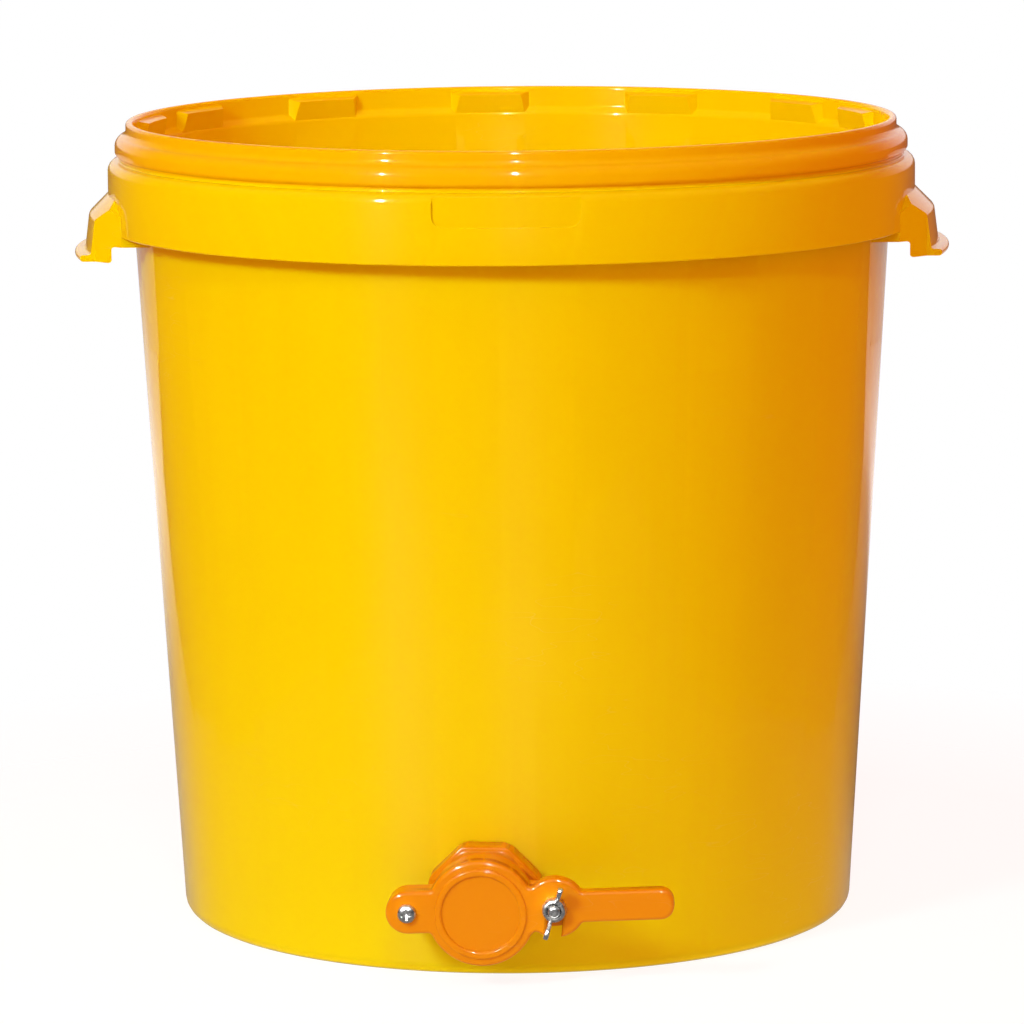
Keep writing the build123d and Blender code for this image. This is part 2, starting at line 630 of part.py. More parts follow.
# Wing nut: tapered boss with two wings that lean outwards
wing_plane = turned(bolt_plane, WING_ANGLE)
wing_side = Plane(wing_plane.origin, wing_plane.x_dir, -wing_plane.y_dir)
with BuildPart() as wing_nut:
    with BuildSketch(bolt_plane.offset(washer_front)):
        Circle(WING_BOSS_D / 2)
    with BuildSketch(bolt_plane.offset(boss_front)):
        Circle(WING_BOSS_TOP_D / 2)
    loft()
    tip = WING_SPAN / 2
    tip_front = washer_front + WING_HEIGHT
    root = BOLT_D / 2 + OVERLAP
    for side in (1, -1):
        with BuildSketch(wing_side):
            with BuildLine():
                FilletPolyline(
                    (side * root, washer_front + WING_FOOT),
                    (side * WING_BOSS_D / 2, washer_front + WING_FOOT),
                    (side * tip, tip_front - WING_TIP_DEPTH),
                    (side * tip, tip_front),
                    (side * (tip - WING_TIP_WIDTH), tip_front),
                    (side * root, boss_front - WING_FOOT),
                    radius=[0, WING_ROUND, WING_ROUND, WING_ROUND, WING_ROUND, 0],
                    close=True,
                )
            make_face()
        extrude(amount=WING_THICKNESS / 2, both=True)
    with BuildSketch(bolt_plane.offset(washer_front)):
        Circle(BOLT_D / 2 + RUNNING_CLEARANCE)
    extrude(amount=WING_HEIGHT, mode=Mode.SUBTRACT)
write(wing_nut, "wing_nut")
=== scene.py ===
import math

import bmesh
import bpy
from mathutils import Matrix, Vector


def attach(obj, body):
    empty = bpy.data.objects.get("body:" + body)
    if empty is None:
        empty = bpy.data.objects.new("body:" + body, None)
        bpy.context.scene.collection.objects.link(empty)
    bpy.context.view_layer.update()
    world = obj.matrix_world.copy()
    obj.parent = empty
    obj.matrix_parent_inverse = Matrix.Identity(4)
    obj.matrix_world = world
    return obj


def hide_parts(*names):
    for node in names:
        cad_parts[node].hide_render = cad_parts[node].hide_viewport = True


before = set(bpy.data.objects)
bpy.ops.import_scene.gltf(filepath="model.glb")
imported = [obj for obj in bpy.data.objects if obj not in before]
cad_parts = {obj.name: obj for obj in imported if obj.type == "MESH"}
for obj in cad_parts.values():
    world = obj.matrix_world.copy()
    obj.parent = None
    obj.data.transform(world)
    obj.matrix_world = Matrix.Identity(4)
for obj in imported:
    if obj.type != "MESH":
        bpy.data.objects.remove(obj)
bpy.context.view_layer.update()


# Tank: one injection moulding in glossy yellow polypropylene, a tapered pail with a skirted rim.
# Grips, stacking lugs and the lid tab's recess are moulded in, and the gate's hole is bored
# afterwards. The mould is turned, so faint rings round the wall stretch its sheen upwards.
MM = 0.001
TANK_HEIGHT = 389.0
BASE_RADIUS = 164.0
WALL_SLOPE = math.tan(math.radians(3.3))
MIDDLE_PAD = 30.0
FOOT_RING = 148.0
FOOT_DEPTH = 2.0
RIM_RADIUS = 187.03
RIM_INNER = 183.43
RIM_FOOT = 383.0
BEAD_RADIUS = 192.43
BEAD_INNER = 188.13
BEAD_TOP = 381.0
BEAD_BOTTOM = 373.5
BEAD_ROOF = 378.7
GROOVE_RADIUS = 190.43
GROOVE_TOP = 372.5
SKIRT_RADIUS = 196.0
SKIRT_INNER = 193.73
SKIRT_TOP = 370.5
SKIRT_ROOF = 368.2
SKIRT_BOTTOM = 337.5
LEDGE_RADIUS = 180.63
LEDGE_TOP = 378.5
LEDGE_BOTTOM = 375.5
BAND_BOTTOM = 337.0
FLOOR_TOP = 4.8
FLOOR_RADIUS = 161.88
TURNED_STEPS = 256


def wall_radius(z):
    """Outer radius of the tapered wall at a height."""
    return BASE_RADIUS + z * WALL_SLOPE


# radius, height and rounding of each corner, from the base's middle round to the floor's
tank_section = [
    (0, 0, 0), (MIDDLE_PAD, 0, 0), (MIDDLE_PAD + FOOT_DEPTH, FOOT_DEPTH, 0),
    (FOOT_RING - FOOT_DEPTH, FOOT_DEPTH, 0), (FOOT_RING, 0, 0), (BASE_RADIUS, 0, 6.6),
    (wall_radius(BEAD_ROOF), BEAD_ROOF, 0.6), (BEAD_INNER, BEAD_ROOF, 0.6),
    (BEAD_INNER, SKIRT_ROOF, 0.6), (SKIRT_INNER, SKIRT_ROOF, 0.8),
    (SKIRT_INNER, SKIRT_BOTTOM, 0.8), (SKIRT_RADIUS, SKIRT_BOTTOM, 0.8),
    (SKIRT_RADIUS, SKIRT_TOP, 4.8), (GROOVE_RADIUS, SKIRT_TOP, 0.6),
    (GROOVE_RADIUS, GROOVE_TOP, 0.6), (BEAD_RADIUS, BEAD_BOTTOM, 1.4),
    (BEAD_RADIUS, BEAD_TOP, 3.4), (RIM_RADIUS, RIM_FOOT, 2.2),
    (RIM_RADIUS, TANK_HEIGHT, 1.6), (RIM_INNER, TANK_HEIGHT, 1.6), (RIM_INNER, LEDGE_TOP, 0.6),
    (LEDGE_RADIUS, LEDGE_BOTTOM, 1.2), (LEDGE_RADIUS, BAND_BOTTOM, 0),
    (FLOOR_RADIUS, FLOOR_TOP, 5), (0, FLOOR_TOP, 0),
]


def rounded(bm, geom, size, affect, segments, clamped=False):
    """Rounds corners or edges of a bmesh to a size in millimetres."""
    bmesh.ops.bevel(
        bm,
        geom=geom,
        offset=size * MM,
        affect=affect,
        segments=segments,
        profile=0.5,
        clamp_overlap=clamped,
        material=-1,
    )


def rounded_section(bm, section, closed):
    """Draws a section in the XZ plane, rounding each corner that asks for it."""
    corners = [bm.verts.new((r * MM, 0, z * MM)) for r, z, _ in section]
    pairs = list(zip(corners, corners[1:]))
    if closed:
        pairs.append((corners[-1], corners[0]))
    for start, end in pairs:
        bm.edges.new((start, end))
    for corner, (_, _, rounding) in zip(corners, section):
        if rounding:
            rounded(bm, [corner], rounding, "VERTICES", 5)


def full_turn(bm, steps):
    """Turns a drawn section all the way round the Z axis."""
    bmesh.ops.spin(
        bm,
        geom=bm.verts[:] + bm.edges[:],
        axis=(0, 0, 1),
        angle=2 * math.pi,
        steps=steps,
        use_merge=True,
    )


def pull(bm, step):
    """Extrudes the faces of a bmesh and moves the new end by a step in metres."""
    grown = bmesh.ops.extrude_face_region(bm, geom=bm.faces[:])["geom"]
    end = [part for part in grown if isinstance(part, bmesh.types.BMVert)]
    bmesh.ops.translate(bm, verts=end, vec=step)


def solid(name, bm):
    """Makes an object of a bmesh, with doubles merged and faces outwards."""
    bmesh.ops.remove_doubles(bm, verts=bm.verts, dist=1e-7)
    bmesh.ops.recalc_face_normals(bm, faces=bm.faces)
    mesh = bpy.data.meshes.new(name)
    bm.to_mesh(mesh)
    bm.free()
    piece = bpy.data.objects.new(name, mesh)
    bpy.context.scene.collection.objects.link(piece)
    return piece


def combine(piece, tool, operation, solver="EXACT"):
    """Joins a tool's mesh to a piece, cuts it away or keeps what both share."""
    step = piece.modifiers.new("step", "BOOLEAN")
    step.object = tool
    step.operation = operation
    step.solver = solver
    shaped = piece.evaluated_get(bpy.context.evaluated_depsgraph_get())
    mesh = bpy.data.meshes.new_from_object(shaped)
    piece.modifiers.clear()
    piece.data = mesh
    bpy.data.objects.remove(tool)


def smooth(piece, degrees):
    """Shades a piece smooth, apart from edges sharper than an angle."""
    piece.data.shade_smooth()
    piece.data.set_sharp_from_angle(angle=math.radians(degrees))


def ring_part(name, section, half_angle):
    """A closed section turned round the tank's axis by whole degrees to both sides of +X."""
    bm = bmesh.new()
    rounded_section(bm, section, True)
    face = bmesh.ops.contextual_create(bm, geom=bm.edges[:])["faces"]
    turn = math.radians(half_angle)
    bmesh.ops.rotate(bm, verts=bm.verts, matrix=Matrix.Rotation(-turn, 3, "Z"))
    bmesh.ops.spin(
        bm,
        geom=face + face[0].edges[:] + face[0].verts[:],
        axis=(0, 0, 1),
        angle=2 * turn,
        steps=2 * half_angle,
    )
    return solid(name, bm)


def plan_prism(name, outline, low, high):
    """An upright prism on an outline seen from above."""
    bm = bmesh.new()
    bm.faces.new([bm.verts.new((x * MM, y * MM, low * MM)) for x, y in outline])
    pull(bm, (0, 0, (high - low) * MM))
    return solid(name, bm)


bm = bmesh.new()
rounded_section(bm, tank_section, False)
full_turn(bm, TURNED_STEPS)
tank = solid("tank", bm)

# stacking lugs: a pad on the rim's inside and a rib that fades out into the wall under it
SINK = 1.0
LUG_WIDTH = 43.0
LUG_SIDE_RUN = 5.0
LUG_HALF_ANGLE = 8
LUG_TURN = 4.15
LUG_OFFSETS = (0, 28.5, 55.8, 74)
LUG_EDGE = 1.7
LUG_EDGE_ANGLE = 0.6
LUG_EDGE_REACH = 0.3
LUG_PRISM = (200.0, 400.0)
PAD_FACE = 178.83
PAD_TOP = 386.68
PAD_BROW = 385.1
PAD_FOOT = 373.0
RIB_FACE = 179.4
RIB_TOP = 367.5
RIB_BROW = 361.5
RIB_FOOT = 282.1


def lug(name, section, face, root):
    """A lug on +X with its sides sloped and the edges that show rounded."""
    slope = LUG_SIDE_RUN / (root - face) * SINK
    front, back = LUG_WIDTH / 2 - LUG_SIDE_RUN - slope, LUG_WIDTH / 2 + slope
    piece = ring_part(name, section, LUG_HALF_ANGLE)
    near, far = face - SINK, root + SINK
    outline = [(near, -front), (far, -back), (far, back), (near, front)]
    combine(piece, plan_prism("lug_plan", outline, *LUG_PRISM), "INTERSECT")
    bm = bmesh.new()
    bm.from_mesh(piece.data)
    foot = min(vert.co.z for vert in bm.verts) + 0.01 * MM
    shown = [
        edge
        for edge in bm.edges
        if edge.calc_face_angle(0) > LUG_EDGE_ANGLE
        and min(vert.co.xy.length for vert in edge.verts) < (face + LUG_EDGE_REACH) * MM
        and max(vert.co.z for vert in edge.verts) > foot
    ]
    rounded(bm, shown, LUG_EDGE, "EDGES", 4, clamped=True)
    bm.to_mesh(piece.data)
    bm.free()
    return piece


pad = lug(
    "pad",
    [
        (RIM_INNER + SINK, PAD_TOP, 0), (PAD_FACE, PAD_BROW, 0),
        (LEDGE_RADIUS + SINK, PAD_FOOT, 0), (RIM_INNER + SINK, PAD_FOOT, 0),
    ],
    PAD_FACE,
    RIM_INNER,
)
rib = lug(
    "rib",
    [
        (LEDGE_RADIUS + SINK, RIB_TOP, 0), (RIB_FACE, RIB_BROW, 0),
        (RIB_FACE, RIB_FOOT, 0), (RIB_FACE + SINK, RIB_FOOT, 0),
    ],
    RIB_FACE,
    LEDGE_RADIUS,
)


def round_the_axis(name, piece, angles):
    """One object of a piece's copies, turned about the Z axis to each angle."""
    bm = bmesh.new()
    for angle in angles:
        start = len(bm.verts)
        bm.from_mesh(piece.data)
        bm.verts.ensure_lookup_table()
        turn = Matrix.Rotation(math.radians(angle), 3, "Z")
        bmesh.ops.rotate(bm, verts=bm.verts[start:], matrix=turn)
    bpy.data.objects.remove(piece)
    return solid(name, bm)


lug_angles = [
    angle + LUG_TURN
    for angle in sorted(
        {side + hand * off for side in (90, 270) for hand in (1, -1) for off in LUG_OFFSETS}
    )
]

# side grips: the skirt bulges out over a finger pocket that is open below
GRIP_TOP = 354.5
GRIP_RADIUS = 205.33
GRIP_LEAN = 2.2
GRIP_WALL = 2.3
GRIP_BOTTOM = 325.0
GRIP_HOOK = 6.0
GRIP_HALF = 50.0
GRIP_HALF_ANGLE = 22
GRIP_PRISM = (300.0, 400.0)
GRIP_ANGLES = (0, 180)
ROOT_HALF = 63.0
ROOF_SINK = 1.15
WEB_BOTTOM = 333.0
LIP_RADIUS = 212.5
LIP_TOP = 328.2
CORNER_DROP = 8.2
CORNER_REACH = 8.0
POCKET_LOW = 322.7
POCKET_HIGH = 363.8
crest_x = math.sqrt(SKIRT_RADIUS**2 - GRIP_HALF**2)
grip_end_x = math.sqrt(GRIP_RADIUS**2 - GRIP_HALF**2)
root_end_x = math.sqrt(SKIRT_RADIUS**2 - ROOT_HALF**2)
end_slope = (ROOT_HALF - GRIP_HALF) / (grip_end_x - root_end_x)


def roof(r, below=0.0):
    """Height of the grip's 45 degree roof at a radius, or that far under it."""
    return GRIP_TOP + SKIRT_RADIUS - r - below * math.sqrt(2)


def trim_to_grip(piece, wall):
    """Keeps what lies a wall's thickness inside the grip's outline and clipped corners."""
    end_half = GRIP_HALF - wall * math.sqrt(1 + end_slope**2)
    root_half = ROOT_HALF - wall
    root_x = grip_end_x - (root_half - end_half) / end_slope
    side = [
        (0, root_half), (root_x, root_half), (grip_end_x, end_half),
        (LIP_RADIUS + GRIP_WALL, end_half),
    ]
    outline = [(x, -y) for x, y in side] + side[::-1]
    combine(piece, plan_prism("grip_plan", outline, *GRIP_PRISM), "INTERSECT")
    bm = bmesh.new()
    bm.from_mesh(piece.data)
    for hand in (1, -1):
        crest = Vector((crest_x, hand * GRIP_HALF, GRIP_TOP))
        root = Vector((root_end_x, hand * ROOT_HALF, GRIP_TOP - CORNER_DROP))
        edge = root + Vector((1, -hand * end_slope, 0)).normalized() * CORNER_REACH
        edge.z = roof(edge.xy.length)
        normal = ((crest - root).cross(edge - root) * hand).normalized()
        cut = bmesh.ops.bisect_plane(
            bm,
            geom=bm.verts[:] + bm.edges[:] + bm.faces[:],
            plane_co=(root - normal * wall) * MM,
            plane_no=normal,
            clear_outer=True,
        )["geom_cut"]
        opened = [part for part in cut if isinstance(part, bmesh.types.BMEdge)]
        bmesh.ops.holes_fill(bm, edges=opened, sides=0)
    bmesh.ops.recalc_face_normals(bm, faces=bm.faces)
    bm.to_mesh(piece.data)
    bm.free()


def finger_pocket():
    """The hollow under a grip, out to the grip's own wall."""
    outer = GRIP_RADIUS - GRIP_WALL
    pocket = ring_part(
        "finger_pocket",
        [
            (wall_radius(POCKET_LOW) - 2 * SINK, POCKET_LOW, 0),
            (outer + GRIP_LEAN, POCKET_LOW, 0),
            (outer, roof(outer, GRIP_WALL), 0),
            (SKIRT_INNER, roof(SKIRT_INNER, GRIP_WALL), 0),
            (SKIRT_INNER, POCKET_HIGH, 0),
            (wall_radius(POCKET_HIGH) - 2 * SINK, POCKET_HIGH, 0),
        ],
        GRIP_HALF_ANGLE,
    )
    trim_to_grip(pocket, GRIP_WALL)
    return pocket


grip = ring_part(
    "grip",
    [
        (wall_radius(WEB_BOTTOM) - SINK, WEB_BOTTOM, 0),
        (GRIP_RADIUS - GRIP_HOOK, WEB_BOTTOM, 1.5),
        (GRIP_RADIUS - GRIP_HOOK, GRIP_BOTTOM, 1.5),
        (LIP_RADIUS, GRIP_BOTTOM, 1.4),
        (LIP_RADIUS, LIP_TOP, 1.4),
        (GRIP_RADIUS + GRIP_LEAN, LIP_TOP, 1.3),
        (GRIP_RADIUS, roof(GRIP_RADIUS), 0.95),
        (SKIRT_RADIUS - ROOF_SINK, roof(SKIRT_RADIUS - ROOF_SINK), 0),
        (wall_radius(GRIP_TOP) - SINK, GRIP_TOP, 0),
    ],
    GRIP_HALF_ANGLE,
)
trim_to_grip(grip, 0)
combine(grip, finger_pocket(), "DIFFERENCE")
window_inner, window_outer = SKIRT_INNER - GRIP_WALL, SKIRT_RADIUS + GRIP_WALL
skirt_window = ring_part(
    "skirt_window",
    [
        (window_inner, POCKET_LOW - SINK, 0), (window_outer, POCKET_LOW - SINK, 0),
        (window_outer, POCKET_HIGH + SINK, 0), (window_inner, POCKET_HIGH + SINK, 0),
    ],
    GRIP_HALF_ANGLE + 1,
)
combine(skirt_window, finger_pocket(), "INTERSECT")

# recess for a lid's tab: a shallow step that follows the skirt's curve
TAB_WIDTH = 68.0
TAB_HEIGHT = 15.5
TAB_DEPTH = 1.0
TAB_CORNER = 5.0
TAB_EDGE = 0.6
TAB_HALF_ANGLE = 12
TAB_ANGLE = -90
TAB_PROUD = 3.0
TAB_PLAN_START = 150.0
TAB_PLAN_LENGTH = 100.0
tab_inner, tab_outer = SKIRT_RADIUS - TAB_DEPTH, SKIRT_RADIUS + TAB_PROUD
tab_low, tab_high = SKIRT_TOP - 2 * TAB_HEIGHT, SKIRT_TOP + TAB_HEIGHT
tab_recess = ring_part(
    "tab_recess",
    [
        (tab_inner, tab_low, 0), (tab_outer, tab_low, 0),
        (tab_outer, tab_high, 0), (tab_inner, tab_high, 0),
    ],
    TAB_HALF_ANGLE,
)
bm = bmesh.new()
half = TAB_WIDTH / 2
outline = [(-half, -TAB_HEIGHT), (half, -TAB_HEIGHT), (half, TAB_HEIGHT), (-half, TAB_HEIGHT)]
bm.faces.new(
    [bm.verts.new((TAB_PLAN_START * MM, y * MM, (SKIRT_TOP + z) * MM)) for y, z in outline]
)
rounded(bm, bm.verts[:], TAB_CORNER, "VERTICES", 6)
pull(bm, (TAB_PLAN_LENGTH * MM, 0, 0))
combine(tab_recess, solid("tab_plan", bm), "INTERSECT")

# the gate's place: on the wall's outside, z outwards square to the wall, x to the right
GATE_HEIGHT = 39.05
GATE_AZIMUTH = math.radians(-4.25)
GATE_ROLL = math.radians(2.65)
WALL_HOLE = 23.3
HOLE_DEPTH = 24.0
HOLE_STEPS = 96
gate_place = (
    Matrix.Rotation(GATE_AZIMUTH, 4, "Z")
    @ Matrix.Translation((0, -wall_radius(GATE_HEIGHT) * MM, GATE_HEIGHT * MM))
    @ Matrix.Rotation(math.pi / 2 + math.atan(WALL_SLOPE), 4, "X")
    @ Matrix.Rotation(GATE_ROLL, 4, "Z")
)
bm = bmesh.new()
bmesh.ops.create_cone(
    bm,
    cap_ends=True,
    segments=HOLE_STEPS,
    radius1=WALL_HOLE * MM,
    radius2=WALL_HOLE * MM,
    depth=HOLE_DEPTH * MM,
    matrix=gate_place,
)
gate_hole = solid("gate_hole", bm)

combine(tank, round_the_axis("pads", pad, lug_angles), "UNION")
combine(tank, round_the_axis("ribs", rib, lug_angles), "UNION")
combine(tank, gate_hole, "DIFFERENCE")
combine(tank, round_the_axis("tab_recess", tab_recess, (TAB_ANGLE,)), "DIFFERENCE")

# the recess's sharp outer edge is rounded before the grips join the skirt
SHARP = 1.0
bm = bmesh.new()
bm.from_mesh(tank.data)
recess_edges = [
    edge
    for edge in bm.edges
    if edge.calc_face_angle_signed(0) > SHARP
    and all(
        vert.co.y < 0
        and abs(vert.co.x) < TAB_WIDTH * MM
        and tab_low < vert.co.z / MM
        and abs(vert.co.xy.length / MM - SKIRT_RADIUS) < 0.1
        for vert in edge.verts
    )
]
rounded(bm, recess_edges, TAB_EDGE, "EDGES", 3, clamped=True)
bm.to_mesh(tank.data)
bm.free()
combine(tank, round_the_axis("skirt_windows", skirt_window, GRIP_ANGLES), "DIFFERENCE")
combine(tank, round_the_axis("grips", grip, GRIP_ANGLES), "UNION")
smooth(tank, 30)


def give(tree, made, inputs):
    """Gives a node's inputs, by name or place, a value each or a link from a socket."""
    for key, value in inputs.items():
        if isinstance(value, bpy.types.NodeSocket):
            tree.links.new(value, made.inputs[key])
        else:
            made.inputs[key].default_value = value


def node(tree, kind, inputs=None, **settings):
    """Adds a shader node with its settings and inputs."""
    made = tree.nodes.new(kind)
    for key, value in settings.items():
        setattr(made, key, value)
    give(tree, made, inputs or {})
    return made


def calc(tree, operation, *terms):
    """The outcome of a sum on numbers and sockets."""
    return node(tree, "ShaderNodeMath", dict(enumerate(terms)), operation=operation).outputs[0]


def ramp(tree, value, low, high, start=0.0, end=1.0, shape="LINEAR"):
    """Goes from start to end while a value goes from low to high."""
    inputs = {"Value": value, "From Min": low, "From Max": high, "To Min": start, "To Max": end}
    made = node(tree, "ShaderNodeMapRange", inputs, interpolation_type=shape)
    return made.outputs["Result"]


def noise(tree, vector, scale, detail, roughness=0.5):
    """A cloudy noise over coordinates."""
    inputs = {"Vector": vector, "Scale": scale, "Detail": detail, "Roughness": roughness}
    return node(tree, "ShaderNodeTexNoise", inputs).outputs["Fac"]


def blend(tree, factor, first, second, kind="MIX"):
    """One colour mixed with another."""
    inputs = {"Factor": factor, "A": first, "B": second}
    made = node(tree, "ShaderNodeMix", inputs, data_type="RGBA", blend_type=kind)
    return made.outputs["Result"]


def length(tree, vector):
    """How far a point lies from the origin."""
    made = node(tree, "ShaderNodeVectorMath", {0: vector}, operation="LENGTH")
    return made.outputs["Value"]


def new_material(name):
    """A node material; returns it with its tree and its shader."""
    material = bpy.data.materials.new(name)
    material.use_nodes = True
    return material, material.node_tree, material.node_tree.nodes["Principled BSDF"]


CLOUD_SCALE = 22.0
WORN_SCALE = 9.0
WORN_RANGE = (0.55, 0.7)
HAIRLINE_TURN = (0.5, 0.3, 0.2)
HAIRLINE_SCALE = (30.0, 30.0, 160.0)
HAIRLINE_WIDTH = 0.006
PALE_HAIRLINE = (1.0, 0.9, 0.6, 1)
PEEL_SCALE = 420.0


def moulded_skin():
    """Skin of an injection moulding: cloudy pigment, orange peel, dull scuffs and hairlines."""
    group = bpy.data.node_groups.new("moulded_skin", "ShaderNodeTree")
    for way, kind, names in (
        ("INPUT", "NodeSocketColor", ("Pigment",)),
        ("INPUT", "NodeSocketFloat", ("Clouding", "Gloss Roughness", "Scuffing", "Peel")),
        ("OUTPUT", "NodeSocketColor", ("Colour",)),
        ("OUTPUT", "NodeSocketFloat", ("Roughness", "Height")),
    ):
        for name in names:
            group.interface.new_socket(name, in_out=way, socket_type=kind)
    given = node(group, "NodeGroupInput").outputs
    place = node(group, "ShaderNodeTexCoord").outputs["Object"]

    cloud = calc(group, "SUBTRACT", noise(group, place, CLOUD_SCALE, 4.0, 0.55), 0.5)
    clouding = calc(group, "MULTIPLY_ADD", cloud, given["Clouding"], 1.0)
    pigment = node(
        group, "ShaderNodeVectorMath", {0: given["Pigment"], 1: clouding}, operation="MULTIPLY"
    ).outputs["Vector"]

    # hairlines: thin contours of a stretched noise, only where a coarse noise lets them show
    stretched = node(
        group,
        "ShaderNodeMapping",
        {"Vector": place, "Rotation": HAIRLINE_TURN, "Scale": HAIRLINE_SCALE},
    ).outputs["Vector"]
    contour = calc(group, "SUBTRACT", noise(group, stretched, 1.0, 1.0), 0.5)
    hairline = ramp(group, calc(group, "ABSOLUTE", contour), 0.0, HAIRLINE_WIDTH, 1.0, 0.0)
    worn = ramp(group, noise(group, place, WORN_SCALE, 3.0), *WORN_RANGE)
    scratch = calc(group, "MULTIPLY", hairline, worn)
    showing = calc(group, "MULTIPLY", scratch, given["Scuffing"])
    colour = blend(group, showing, pigment, PALE_HAIRLINE)

    # gloss is duller in worn patches and along hairlines
    dull = calc(group, "MULTIPLY", calc(group, "ADD", worn, hairline), given["Scuffing"])
    roughness = calc(group, "ADD", dull, given["Gloss Roughness"])
    height = calc(group, "MULTIPLY", noise(group, place, PEEL_SCALE, 2.0), given["Peel"])
    node(group, "NodeGroupOutput", {"Colour": colour, "Roughness": roughness, "Height": height})
    return group


skin_group = moulded_skin()
PEEL_STRENGTH = 0.2
PEEL_DEPTH = 0.4 * MM
PLASTIC_IOR = 1.08
COAT_IOR = 1.5
LIMB_COAT = 0.7
LIMB_FACING = (0.56, 0.84)


def moulded_plastic(name, skin_values, clear_coat, coat_roughness):
    """A plastic with the moulded skin under a clear gloss that grows towards its limbs."""
    material, tree, shader = new_material(name)
    skin = node(tree, "ShaderNodeGroup", skin_values, node_tree=skin_group).outputs
    peel = {"Strength": PEEL_STRENGTH, "Distance": PEEL_DEPTH, "Height": skin["Height"]}
    turned_away = node(tree, "ShaderNodeLayerWeight", {"Blend": 0.5}).outputs["Facing"]
    gloss = ramp(tree, turned_away, *LIMB_FACING, clear_coat, LIMB_COAT, "SMOOTHSTEP")
    shown = {
        "Base Color": skin["Colour"],
        "Roughness": skin["Roughness"],
        "Normal": node(tree, "ShaderNodeBump", peel).outputs["Normal"],
        "IOR": PLASTIC_IOR,
        "Coat Weight": gloss,
        "Coat IOR": COAT_IOR,
        "Coat Roughness": coat_roughness,
    }
    give(tree, shader, shown)
    return material


def fit(piece, body, material, cad_node):
    """Gives a piece its material and its body, and hides the CAD node that it stands for."""
    piece.data.materials.clear()
    piece.data.materials.append(material)
    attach(piece, body)
    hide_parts(cad_node)


tank_plastic = moulded_plastic(
    "tank_plastic",
    {
        "Pigment": (0.775, 0.565, 0.0, 1),
        "Clouding": 0.03,
        "Gloss Roughness": 0.34,
        "Scuffing": 0.08,
        "Peel": 0.5,
    },
    clear_coat=0.12,
    coat_roughness=0.04,
)
tree = tank_plastic.node_tree
shader = tree.nodes["Principled BSDF"]

# painted shade and light: the rim and its bead are painted a deeper yellow and the inside a
# paler one, standing in for light that goes through the thin wall
RIM_PAINTED_SHADE = (1.0, 0.79, 1.0, 1)
RIM_SHADE_HEIGHTS = (371.0 * MM, 372.5 * MM)
RIM_SHADE_RADII = (184.5 * MM, 186.2 * MM)
INSIDE_PAINTED_LIGHT = (1.2, 1.17, 1.0, 1)
INSIDE_LIGHT_RADII = (162.6 * MM, 163.6 * MM)
place = node(tree, "ShaderNodeTexCoord").outputs["Object"]
height = node(tree, "ShaderNodeSeparateXYZ", {0: place}).outputs["Z"]
flat = node(tree, "ShaderNodeVectorMath", {0: place, 1: (1, 1, 0)}, operation="MULTIPLY")
radius = length(tree, flat.outputs["Vector"])
rim_shade_mask = calc(
    tree, "MULTIPLY", ramp(tree, height, *RIM_SHADE_HEIGHTS), ramp(tree, radius, *RIM_SHADE_RADII)
)
pigment = shader.inputs["Base Color"].links[0].from_socket
rim_shaded_colour = blend(tree, rim_shade_mask, pigment, RIM_PAINTED_SHADE, "MULTIPLY")
radius_at_base = calc(tree, "MULTIPLY_ADD", height, -WALL_SLOPE, radius)
inside = ramp(tree, radius_at_base, *INSIDE_LIGHT_RADII, 1.0, 0.0)

# the turned rings' sheen fades from the foot upwards
SHEEN_HEIGHTS = (20.0 * MM, 300.0 * MM)
FOOT_SHEEN = 0.9
TOP_SHEEN = 0.12
rings = node(tree, "ShaderNodeTangent", direction_type="RADIAL", axis="Z")
# the base colour carries the rim's painted shade and the inside's painted light
ringed_and_painted = {
    "Base Color": blend(tree, inside, rim_shaded_colour, INSIDE_PAINTED_LIGHT, "MULTIPLY"),
    "Specular IOR Level": ramp(tree, height, *SHEEN_HEIGHTS, FOOT_SHEEN, TOP_SHEEN),
    "Anisotropic": 0.9,
    "Anisotropic Rotation": 0.25,
    "Tangent": rings.outputs["Tangent"],
}
give(tree, shader, ringed_and_painted)
fit(tank, "tank", tank_plastic, "tank_body")


# Outer gasket: a soft amber silicone ring, cut from sheet and squeezed between the gate's collar
# and the curved wall, so that it takes the wall's curve on one face.
def evened(piece, degrees):
    """Shades a piece smooth up to an angle, and keeps its large faces flat."""
    smooth(piece, degrees)
    weighted = piece.modifiers.new("evened", "WEIGHTED_NORMAL")
    weighted.keep_sharp = True
    return piece


def merged_copy(cad_node, degrees):
    """A CAD node's mesh with its loose triangles joined, shaded smooth up to an angle."""
    name = cad_node + "_shown"
    bm = bmesh.new()
    bm.from_mesh(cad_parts[cad_node].data)
    bmesh.ops.remove_doubles(bm, verts=bm.verts, dist=2e-6)
    mesh = bpy.data.meshes.new(name)
    bm.to_mesh(mesh)
    bm.free()
    piece = bpy.data.objects.new(name, mesh)
    bpy.context.scene.collection.objects.link(piece)
    return evened(piece, degrees)


def carry(cad_node, degrees, body, material):
    """Shows a CAD node's own shape with a finished material."""
    fit(merged_copy(cad_node, degrees), body, material, cad_node)


DEEP_AMBER = (0.5, 0.16, 0.01, 1)
PALE_AMBER = (0.62, 0.24, 0.03, 1)
GRAIN_SCALE = 900.0
rubber, tree, shader = new_material("gasket_rubber")
place = node(tree, "ShaderNodeTexCoord").outputs["Object"]
bloom = blend(tree, noise(tree, place, GRAIN_SCALE, 3.0), DEEP_AMBER, PALE_AMBER)
give(tree, shader, {"Base Color": bloom, "Roughness": 0.65})
carry("gate_outer_gasket", 40, "tank", rubber)


